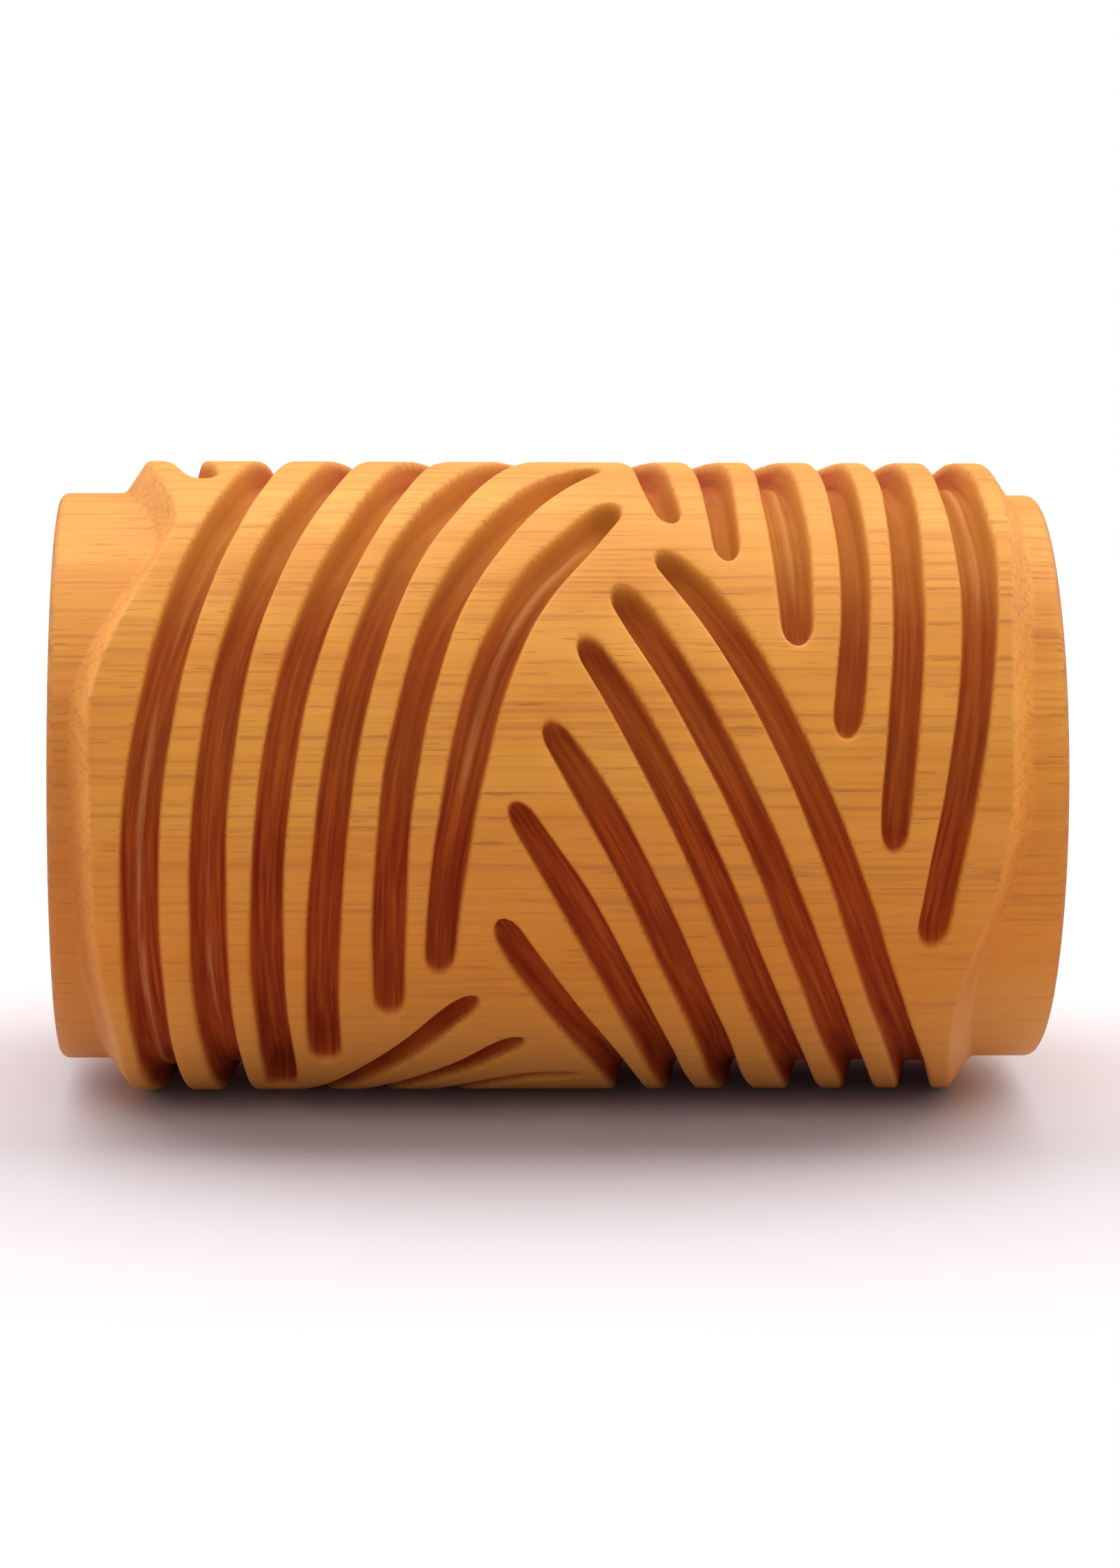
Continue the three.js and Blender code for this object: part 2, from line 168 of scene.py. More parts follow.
# Each groove goes through these: stripes from the middle, degrees, share of the width.
# Degrees run on past 360 where a groove goes more than once round.
grooves = [
    # the first six come down the right of the front, and go over the top and round the back
    [
        (1.9, 51, 0.7), (1.72, 64, 0.9), (1.6, 78, 0.95), (1.35, 90, 1), (0.85, 101, 1),
        (0.1, 111, 1), (-0.75, 121, 1), (-1.6, 131, 1), (-2.4, 142, 1), (-3.2, 156, 1),
        (-3.95, 172, 1), (-4.6, 190, 1), (-5.2, 212, 1), (-5.75, 236, 1), (-6.15, 262, 1),
        (-6.4, 282, 1.1), (-6.62, 307, 1.15), (-6.74, 334, 1.15), (-6.65, 358, 1.15),
        (-6.3, 380, 1.1), (-5.82, 399, 1.1), (-5.1, 424, 1.05), (-4.76, 440, 1), (-4.55, 450, 1),
        (-4.42, 460, 1), (-4.3, 472, 1), (-4.28, 486, 1), (-4.42, 503, 1), (-4.75, 525, 1),
    ],
    [
        (2.77, 41, 0.75), (2.72, 58, 0.9), (2.65, 76, 1), (2.43, 90, 1), (1.93, 102, 1),
        (1.2, 113, 1), (0.35, 124, 1), (-0.5, 135, 1), (-1.3, 147, 1), (-2.1, 161, 1),
        (-2.85, 177, 1), (-3.5, 194, 1), (-4.1, 213, 1), (-4.65, 234, 1), (-5.05, 256, 1),
        (-5.22, 274, 1), (-5.38, 290, 1.05), (-5.58, 312, 1.1), (-5.64, 334, 1.1),
        (-5.57, 358, 1.05), (-5.2, 382, 1), (-4.74, 399, 1), (-3.9, 424, 1), (-3.52, 440, 1),
        (-3.26, 450, 1), (-2.98, 460, 1), (-2.8, 472, 1), (-2.76, 482, 1), (-2.85, 492, 1),
    ],
    [
        (3.82, 23, 1), (3.79, 45, 1.15), (3.73, 62, 1.15), (3.68, 77, 1.1), (3.52, 90, 1),
        (3.03, 103, 1), (2.3, 115, 1), (1.45, 127, 1), (0.6, 139, 1), (-0.2, 152, 1),
        (-1, 167, 1), (-1.75, 183, 1), (-2.4, 200, 1), (-3, 218, 1), (-3.55, 237, 1),
        (-3.93, 255, 1), (-4, 270, 1), (-3.5, 282, 0.95), (-3, 292, 0.9), (-2.25, 304, 0.85),
        (-1.72, 312, 0.8), (-1.3, 317, 0.75),
    ],
    [
        (4.55, 6, 0.9), (4.66, 17, 0.9), (4.8, 36, 0.9), (4.78, 56, 0.9), (4.7, 76, 0.95),
        (4.58, 90, 1), (4.12, 104, 1), (3.4, 117, 1), (2.55, 130, 1), (1.7, 143, 1),
        (0.9, 157, 1), (0.15, 172, 1), (-0.6, 188, 1), (-1.25, 205, 1), (-1.85, 223, 1),
        (-2.42, 241, 1), (-2.86, 257, 1), (-2.98, 270, 1), (-2.6, 280, 0.9), (-2.1, 287, 0.85),
        (-1.35, 296, 0.8), (-0.85, 302, 0.8), (-0.5, 305, 0.75),
    ],
    [
        (5.32, -14, 0.7), (5.36, -5, 0.9), (5.48, 9, 0.95), (5.64, 30, 0.95), (5.68, 55, 0.95),
        (5.64, 75, 0.95), (5.5, 90, 1), (5.2, 104, 1), (4.52, 119, 1), (3.7, 133, 1),
        (2.85, 146, 1), (2.05, 160, 1), (1.25, 175, 1), (0.5, 191, 1), (-0.15, 208, 1),
        (-0.75, 226, 1), (-1.32, 244, 1), (-1.76, 258, 1), (-1.8, 270, 1), (-1.35, 280, 0.9),
        (-0.5, 288, 0.8), (0.5, 290, 0.75),
    ],
    [
        (5.98, -32, 0.9), (6.18, -17, 0.95), (6.43, -2, 1), (6.64, 13, 1), (6.78, 30, 1.1),
        (6.81, 45, 1.2), (6.72, 62, 1.2), (6.66, 77, 1.1), (6.54, 90, 1), (6.3, 104, 1),
        (5.72, 119, 1), (4.95, 133, 1), (4.1, 147, 1), (3.27, 161, 1), (2.45, 176, 1),
        (1.67, 191, 1), (0.97, 207, 1), (0.42, 223, 1), (-0.02, 238, 1), (-0.35, 250, 1),
    ],
    # six start beside the last of those, and go under to the right of the back
    [
        (1.62, 43, 0.7), (2.3, 33, 1), (3.2, 16, 1), (4.28, -10, 1), (5.1, -36, 1),
        (5.8, -62, 1), (6.18, -85, 1), (6.4, -105, 1), (6.6, -128, 1), (6.7, -152, 1),
        (6.65, -175, 1), (6.55, -195, 1), (6.5, -214, 1), (6.52, -234, 1),
    ],
    [
        (0.9, 35, 0.75), (1.3, 28, 1), (2.28, 9, 1), (3.3, -14, 1), (4.2, -40, 1), (4.9, -66, 1),
        (5.25, -86, 1), (5.5, -104, 1), (5.66, -126, 1), (5.7, -148, 1), (5.6, -170, 1),
        (5.45, -190, 1), (5.32, -212, 1),
    ],
    [
        (0.33, 25, 0.75), (1.14, 10, 1), (2.03, -9, 1), (2.81, -29, 1), (3.57, -52, 1),
        (3.98, -68, 1), (4.28, -84, 1), (4.5, -102, 1), (4.65, -120, 1), (4.65, -138, 1),
        (4.52, -156, 1), (4.3, -174, 1), (4.06, -192, 1),
    ],
    [
        (-0.26, 9.5, 0.7), (0.41, -2, 1), (1.22, -18, 1), (1.97, -37, 1), (2.57, -56, 1),
        (2.93, -74, 1), (3.22, -88, 1), (3.45, -104, 1), (3.55, -120, 1), (3.48, -137, 1),
        (3.28, -155, 1), (3, -173, 1),
    ],
    [
        (-0.8, -4.5, 0.7), (0.25, -23, 1), (1.03, -41, 1), (1.6, -57, 1), (1.9, -70, 1),
        (2.17, -84, 1), (2.4, -98, 1), (2.48, -112, 1), (2.43, -126, 1), (2.25, -140, 1),
        (2.05, -153, 1),
    ],
    [
        (-0.98, -26, 0.7), (-0.65, -33, 0.9), (-0.05, -44, 1), (0.55, -56, 1), (0.97, -67, 1),
        (1.27, -80, 1), (1.43, -92, 1), (1.44, -106, 1), (1.3, -122, 1),
    ],
    # four sweep up the left of the front, and two of them end just over the top
    [
        (-4.5, -80, 0.9), (-4.52, -68, 1), (-4.58, -57, 1), (-4.7, -36, 1), (-4.65, -12, 1),
        (-4.4, 10, 1), (-3.98, 27, 1), (-3.16, 51, 1), (-2.68, 65, 1.05), (-2.25, 80, 1),
        (-1.9, 90, 1), (-1.52, 101, 1), (-1.3, 111, 1),
    ],
    [
        (-3.75, -63.5, 0.9), (-3.8, -53, 1), (-3.82, -40, 1), (-3.78, -24, 1), (-3.6, -2, 1),
        (-3.2, 19, 1), (-2.58, 40, 1), (-1.77, 59, 1.05), (-1.2, 72, 1), (-0.7, 84, 1),
        (-0.25, 96, 0.9),
    ],
    [
        (-2.73, -48, 0.9), (-2.75, -28, 1), (-2.67, -8, 1), (-2.38, 11, 1), (-1.87, 30, 1),
        (-1.05, 48, 1), (-0.13, 64, 1), (0.76, 76, 0.8),
    ],
    [
        (-1.95, -37.7, 0.9), (-1.81, -17, 1.05), (-1.52, 2, 1.15), (-1.03, 21, 1.2),
        (-0.38, 35.5, 1.2), (0.33, 46, 1.15), (1, 57, 0.95),
    ],
    # one starts behind the tooth, and one lies beside it on the back
    [
        (-5.75, 68, 0.95), (-5.95, 78, 1.1), (-6.18, 90, 1.15), (-6.17, 101, 1.05), (-5.88, 114, 1),
        (-5.58, 128, 1), (-5.46, 142, 1), (-5.6, 158, 1), (-5.84, 178, 1), (-6.06, 196, 1),
        (-6.2, 210, 1),
    ],
    [
        (-6.7, 121, 1), (-6.52, 133, 1), (-6.48, 147, 1), (-6.62, 163, 1), (-6.8, 180, 1),
    ],
]

bandRadius = roller["bandRadius"]
lap = 2 * math.pi * bandRadius  # once round the band, unrolled
stripe = roller["bandLength"] / roller["stripesAcross"]
halfLength = roller["length"] / 2

# The unrolled skin: x along the axis, y round it, z out from the band's surface.
# dig is how far down the groove a point lies, from 0 at the top to 1 at the floor.
# cut is its place in mm along the groove and across it, and the groove's number.
# crest is 1 on the ridge between two passes of the gouge.
sheet = {"points": [], "dig": [], "cut": [], "crest": [], "faces": []}


def addPoint(along, around, height=0.0, dig=0.0, cut=(0.0, 0.0, 0.0), crest=0.0):
    sheet["points"].append((along, around, height))
    sheet["dig"].append(dig)
    sheet["cut"].append(cut)
    sheet["crest"].append(crest)
    return len(sheet["points"]) - 1


def bridge(rowA, rowB):
    # faces between two closed rows with the same count, triangles where two corners are one
    for i in range(len(rowA)):
        j = (i + 1) % len(rowA)
        corners = []
        for corner in (rowA[i], rowA[j], rowB[j], rowB[i]):
            if corner not in corners:
                corners.append(corner)
        if len(corners) > 2:
            sheet["faces"].append(corners)


def smoothLine(points, steps=16):
    # a curve that eases through every point without overshooting
    pts = np.array(points, float)
    pts = np.vstack([2 * pts[0] - pts[1], pts, 2 * pts[-1] - pts[-2]])
    line = []
    for a, b, c, d in zip(pts, pts[1:], pts[2:], pts[3:]):
        ta, tb, tc = (math.dist(p, q) ** 0.5 for p, q in ((a, b), (b, c), (c, d)))
        slopeB = ((b - a) / ta - (c - a) / (ta + tb) + (c - b) / tb) * tb
        slopeC = ((c - b) / tb - (d - b) / (tb + tc) + (d - c) / tc) * tb
        for i in range(steps):
            t = i / steps
            line.append(
                (2 * t ** 3 - 3 * t ** 2 + 1) * b + (t ** 3 - 2 * t ** 2 + t) * slopeB
                + (3 * t ** 2 - 2 * t ** 3) * c + (t ** 3 - t ** 2) * slopeC
            )
    line.append(pts[-2])
    return np.array(line)


def edgeRow(points):
    # where an edge of the band lies at each step round it
    laps = [(x * stripe, a + 360 * n) for n in (-1, 0, 1) for x, a in points]
    line = smoothLine(sorted(laps, key=lambda p: p[1]), steps=8)
    degrees = np.arange(roller["stepsAround"]) * 360 / roller["stepsAround"]
    return np.interp(degrees, line[:, 1], line[:, 0])


def ramp(value, start, run):
    # 0 up to start, and 1 from one run past it
    return min(max((value - start) / run, 0), 1)


def layGroove(points, order):
    # rows of points from the groove's middle out, round its two ends, down to the land
    half = carving["width"] / 2
    ridgeForm, crestForm = carving["ridge"], carving["crest"]
    line = smoothLine([(x * stripe, math.radians(a) * bandRadius, w) for x, a, w in points])
    runs = np.concatenate([[0], np.cumsum(np.hypot(*np.diff(line[:, :2], axis=0).T))])
    count = max(4, round((runs[-1] - 2 * carving["endRun"]) / carving["stationStep"]))
    stops = np.linspace(carving["endRun"], runs[-1] - carving["endRun"], count)
    middle = np.array([np.interp(stops, runs, line[:, k]) for k in range(3)]).T
    tangent = np.gradient(middle[:, :2], axis=0)
    tangent /= np.hypot(*tangent.T)[:, None]
    across = np.stack([-tangent[:, 1], tangent[:, 0]], 1)
    for i, s in enumerate(stops):
        lane = order * carving["noiseStep"]
        stray = noise.noise(Vector((s / carving["sideRun"], lane, 0)))
        swell = noise.noise(Vector((s / carving["widthRun"], lane, carving["widthNoise"])))
        middle[i, :2] += across[i] * (stray * carving["sideWander"])
        middle[i, 2] *= 1 + carving["widthWander"] * swell
    share = middle[:, 2]
    gain = [min(1, s / carving["fullWidth"]) for s in share]
    shallow = [carving["leastDepth"] + carving["depthGain"] * g for g in gain]
    ends = carving["endSteps"]
    rows = []
    for reach, dig in carving["section"]:
        inside, outside = min(reach, 1), max(reach - 1, 0) * half

        def place(i, side):
            offset = inside * half * share[i] + outside
            x, y = middle[i, :2] + across[i] * offset * side
            ridge = ramp(share[i], ridgeForm["start"], ridgeForm["run"])
            ridge *= max(0, 1 - (reach / ridgeForm["reach"]) ** 2)
            crest = ramp(share[i], crestForm["start"], crestForm["run"])
            crest *= max(0, 1 - reach / crestForm["reach"])
            down = dig * (1 - ridgeForm["height"] * ridge) * shallow[i]
            return addPoint(x, y, 0, down, (stops[i], offset * side, order), crest)

        def endPlace(i, outward, step):
            turn = math.pi / 2 - math.pi * step / ends
            wide = inside * half * share[i] + outside
            far = inside * carving["endRun"] + outside
            ahead, aside = outward * far * math.cos(turn), outward * wide * math.sin(turn)
            x, y = middle[i, :2] + tangent[i] * ahead + across[i] * aside
            return addPoint(x, y, 0, dig * shallow[i], (stops[i] + ahead, aside, order))

        if reach == 0:
            core = [place(i, 1) for i in range(count)]
            row = core + [core[-1]] * (ends - 1) + core[::-1] + [core[0]] * (ends - 1)
        else:
            row = [place(i, 1) for i in range(count)]
            row += [endPlace(count - 1, 1, step) for step in range(1, ends)]
            row += [place(i, -1) for i in reversed(range(count))]
            row += [endPlace(0, -1, step) for step in range(1, ends)]
        rows.append(row)
    for inner, outer in zip(rows, rows[1:]):
        bridge(inner, outer)
    return rows[-1]


def layEnd(edge, side):
    # shoulder, hub, rounded end, end face and bore mouth, as rows out from the band's edge
    hub = bandRadius - roller["hubStep"]
    rows = [[(x + side * out, height) for x in edge] for out, height in roller["shoulder"]]
    foot = rows[-1]
    hubEnd = side * (halfLength - roller["endRound"])
    for part in roller["hubRows"]:
        rows.append([(x + (hubEnd - x) * part, -roller["hubStep"]) for x, _ in foot])
    for turn in roller["edgeRows"]:
        a = math.radians(turn)
        out = hubEnd + side * roller["endRound"] * math.sin(a)
        drop = roller["hubStep"] + roller["endRound"] * (1 - math.cos(a))
        rows.append([(out, -drop)] * len(edge))
    face = hub - roller["endRound"]
    mouth = roller["boreRadius"] + roller["boreChamfer"]
    for part in roller["faceRows"]:
        rows.append([(side * halfLength, face + (mouth - face) * part - bandRadius)] * len(edge))
    for part in roller["mouthRows"]:
        inward = side * (halfLength - roller["boreChamfer"] * part)
        rows.append([(inward, mouth - roller["boreChamfer"] * part - bandRadius)] * len(edge))
    laid = []
    for row in rows:
        laid.append([addPoint(x, lap * i / len(edge), h) for i, (x, h) in enumerate(row)])
    for inner, outer in zip(laid, laid[1:]):
        bridge(inner, outer)
    return laid[0], laid[-1]


def layLand(loops, lips):
    # fills the band between its two lips and round the grooves, on a strip a bit over one lap
    margin = land["overlap"]
    random.seed(land["seed"])
    left = [sheet["points"][i] for i in lips[0]]
    right = [sheet["points"][i] for i in lips[1]]
    wallPoints = [i for chain in loops + lips for i in chain]
    tree = kdtree.KDTree(3 * len(wallPoints))
    for i in wallPoints:
        x, y, _ = sheet["points"][i]
        for turn in (-lap, 0, lap):
            tree.insert((x, y % lap + turn, 0), i)
    tree.balance()
    outlines = []
    for loop in loops:
        for n in (-2, -1, 0, 1, 2):
            ring = np.array([sheet["points"][i][:2] for i in loop]) + (0, lap * n)
            outlines.append((ring, ring.min(0), ring.max(0)))

    def insideGroove(x, y):
        for ring, low, high in outlines:
            if low[0] < x < high[0] and low[1] < y < high[1]:
                x0, y0 = ring.T
                x1, y1 = np.roll(ring, -1, 0).T
                hit = (y0 > y) != (y1 > y)
                cross = x0[hit] + (y - y0[hit]) * (x1[hit] - x0[hit]) / (y1[hit] - y0[hit])
                if np.count_nonzero(cross > x) % 2:
                    return True
        return False

    step, jitter = land["step"], land["jitter"]
    rowCount = 2 * round(lap / (step * land["rowShare"]) / 2)
    landPoints = set()
    for r in range(rowCount):
        y = lap * r / rowCount
        column = round(r / rowCount * len(left)) % len(left)
        low, high = left[column][0], right[column][0]
        for c in range(int((high - low) / step) + 1):
            x = low + step * (c + 0.5 * (r % 2)) + random.uniform(-jitter, jitter)
            yy = (y + random.uniform(-jitter, jitter)) % lap
            if not low + land["fromLip"] < x < high - land["fromLip"]:
                continue
            if tree.find((x, yy, 0))[2] > land["fromGroove"] and not insideGroove(x, yy):
                landPoints.add(addPoint(x, yy))

    # every point of the strip, with those near its ends on it twice
    keys, corners = {}, []

    def corner(i, n):
        y = sheet["points"][i][1] % lap + lap * n
        if not -margin < y < lap + margin:
            return None
        if (i, n) not in keys:
            keys[(i, n)] = len(corners)
            corners.append((i, Vector((sheet["points"][i][0], y))))
        return keys[(i, n)]

    edges = []
    for chain in loops + lips:
        for a, b in zip(chain, chain[1:] + chain[:1]):
            ya, yb = sheet["points"][a][1] % lap, sheet["points"][b][1] % lap
            shift = round((ya - yb) / lap)
            for n in (-1, 0, 1):
                ca, cb = corner(a, n), corner(b, n + shift)
                if ca is not None and cb is not None:
                    edges.append((ca, cb))
    for i in landPoints:
        for n in (-1, 0, 1):
            corner(i, n)
    places = [v for _, v in corners]
    found = geometry.delaunay_2d_cdt(places, edges, [], 0, land["joinWithin"], True)
    verts, _, faces, origin = found[:4]
    if len(verts) != len(corners):
        print("grooves touch: corners", len(corners), "after filling", len(verts))
    # from one face of the land on to all the next ones, never over a lip of a groove or hub
    ids = [corners[o[0]][0] if o else None for o in origin]
    slotOf = {o[0]: k for k, o in enumerate(origin) if o}
    walls = {frozenset((slotOf[a], slotOf[b])) for a, b in edges if a in slotOf and b in slotOf}
    beside = {}
    for f, face in enumerate(faces):
        for a, b in zip(face, face[1:] + face[:1]):
            beside.setdefault(frozenset((a, b)), []).append(f)

    def middleOf(f):
        return sum(verts[v].y for v in faces[f]) / 3

    start = next(f for f, face in enumerate(faces)
                 if 0 < middleOf(f) < lap and all(ids[v] in landPoints for v in face))
    reached, queue = {start}, [start]
    while queue:
        face = faces[queue.pop()]
        for a, b in zip(face, face[1:] + face[:1]):
            edge = frozenset((a, b))
            if edge in walls:
                continue
            for other in beside[edge]:
                if other not in reached and abs(middleOf(other) - lap / 2) < lap / 2 + margin / 2:
                    reached.add(other)
                    queue.append(other)
    made = set()
    for f in reached:
        if 0 <= middleOf(f) < lap:
            made.add(frozenset(ids[v] for v in faces[f]))
            sheet["faces"].append([ids[v] for v in faces[f]])
    print("land faces", len(made), "of", len(reached))


loops = [layGroove(points, order) for order, points in enumerate(grooves)]
leftLip, leftMouth = layEnd(edgeRow(leftEdge), -1)
rightLip, rightMouth = layEnd(edgeRow(rightEdge), 1)
boreRows = [leftMouth]
boreHalf = halfLength - roller["boreChamfer"]
boreHeight = roller["boreRadius"] - bandRadius
around = len(leftMouth)
for x in np.linspace(-boreHalf, boreHalf, roller["boreRows"])[1:-1]:
    boreRows.append([addPoint(x, lap * i / around, boreHeight) for i in range(around)])
boreRows.append(rightMouth)
for inner, outer in zip(boreRows, boreRows[1:]):
    bridge(inner, outer)
layLand(loops, [leftLip, rightLip])
print("skin laid out:", len(sheet["points"]), "points,", len(sheet["faces"]), "faces")

flatSkin = bpy.data.meshes.new("flatSkin")
flatSkin.from_pydata((np.array(sheet["points"]) * toMetres).tolist(), [], sheet["faces"])
for name, kind, field in [
    ("dig", "FLOAT", "value"), ("cut", "FLOAT_VECTOR", "vector"), ("crest", "FLOAT", "value"),
]:
    attribute = flatSkin.attributes.new(name, kind, "POINT")
    attribute.data.foreach_set(field, np.ravel(sheet[name]))


def carveAndRollTree():
    # rolls the flat skin round the axis, then sinks the grooves with the gouge's uneven pushes
    tree = bpy.data.node_groups.new("carveAndRoll", "GeometryNodeTree")
    tree.interface.new_socket("Skin", in_out="INPUT", socket_type="NodeSocketGeometry")
    for name in ("Band Radius", "Rest Turn", "Groove Depth", "Depth Wander", "Wander Size",
                 "Push Length", "Push Depth", "Surface Wander", "Seed"):
        tree.interface.new_socket(name, in_out="INPUT", socket_type="NodeSocketFloat")
    tree.interface.new_socket("Wood", in_out="INPUT", socket_type="NodeSocketMaterial")
    tree.interface.new_socket("Roller", in_out="OUTPUT", socket_type="NodeSocketGeometry")
    given = addNode(tree, "NodeGroupInput").outputs

    # the roll: y becomes an angle, z a radius
    flatSpot = addNode(tree, "GeometryNodeInputPosition")
    flat = addNode(tree, "ShaderNodeSeparateXYZ", inputs={0: flatSpot}).outputs
    aroundBand = addNode(tree, "ShaderNodeMath", over, {0: flat[1], 1: given["Band Radius"]})
    turn = addNode(tree, "ShaderNodeMath", plus, {0: aroundBand, 1: given["Rest Turn"]})
    radius = addNode(tree, "ShaderNodeMath", plus, {0: flat[2], 1: given["Band Radius"]})
    cosine = addNode(tree, "ShaderNodeMath", {"operation": "COSINE"}, {0: turn})
    sine = addNode(tree, "ShaderNodeMath", {"operation": "SINE"}, {0: turn})
    toBack = addNode(tree, "ShaderNodeMath", times, {0: radius, 1: cosine})
    toFront = addNode(tree, "ShaderNodeMath", times, {0: toBack, 1: -1.0})
    upward = addNode(tree, "ShaderNodeMath", times, {0: radius, 1: sine})
    place = addNode(tree, "ShaderNodeCombineXYZ", inputs={0: flat[0], 1: toFront, 2: upward})
    rolled = addNode(tree, "GeometryNodeSetPosition", inputs={
        "Geometry": given["Skin"], "Position": place})

    # how deep each point lies, with long wander and the short bites of the gouge
    spot = addNode(tree, "GeometryNodeInputPosition")
    dig = addNode(tree, "GeometryNodeInputNamedAttribute", {"data_type": "FLOAT"}, {"Name": "dig"})
    cut = addNode(tree, "GeometryNodeInputNamedAttribute", {"data_type": "FLOAT_VECTOR"}, {
        "Name": "cut"})
    wanderScale = addNode(tree, "ShaderNodeMath", over, {0: 1.0, 1: given["Wander Size"]})
    pushScale = addNode(tree, "ShaderNodeMath", over, {0: 1.0, 1: given["Push Length"]})
    wander = addNode(tree, "ShaderNodeTexNoise", {"noise_dimensions": "4D"}, {
        "Vector": spot, "W": given["Seed"], "Scale": wanderScale, "Detail": 1.0})
    pushes = addNode(tree, "ShaderNodeTexNoise", {"noise_dimensions": "4D"}, {
        "Vector": cut, "W": given["Seed"], "Scale": pushScale, "Detail": 0.0})
    wanderMiddle = addNode(tree, "ShaderNodeMath", minus, {0: wander, 1: 0.5})
    pushMiddle = addNode(tree, "ShaderNodeMath", minus, {0: pushes, 1: 0.5})
    uneven = addNode(tree, "ShaderNodeMath", timesPlus, {
        0: wanderMiddle, 1: given["Depth Wander"], 2: 1.0})
    bite = addNode(tree, "ShaderNodeMath", times, {0: pushMiddle, 1: given["Push Depth"]})
    sunk = addNode(tree, "ShaderNodeMath", timesPlus, {
        0: given["Groove Depth"], 1: uneven, 2: bite})
    worn = addNode(tree, "ShaderNodeMath", times, {0: wander, 1: given["Surface Wander"]})
    depth = addNode(tree, "ShaderNodeMath", timesPlus, {0: sunk, 1: dig, 2: worn})
    inward = addNode(tree, "ShaderNodeMath", times, {0: depth, 1: -1.0})
    offAxis = addNode(tree, "ShaderNodeVectorMath", times, {0: spot, 1: offAxisOnly})
    outward = addNode(tree, "ShaderNodeVectorMath", {"operation": "NORMALIZE"}, {0: offAxis})
    move = addNode(tree, "ShaderNodeVectorMath", {"operation": "SCALE"}, {
        0: outward, "Scale": inward})
    carved = addNode(tree, "GeometryNodeSetPosition", inputs={
        "Geometry": rolled, "Offset": move})

    smooth = addNode(tree, "GeometryNodeSetShadeSmooth", inputs={"Geometry": carved})
    real = addNode(tree, "GeometryNodeRealizeInstances", inputs={"Geometry": smooth})
    wood = addNode(tree, "GeometryNodeSetMaterial", inputs={
        "Geometry": real, "Material": given["Wood"]})
    addNode(tree, "NodeGroupOutput", inputs={"Roller": wood})
    return tree


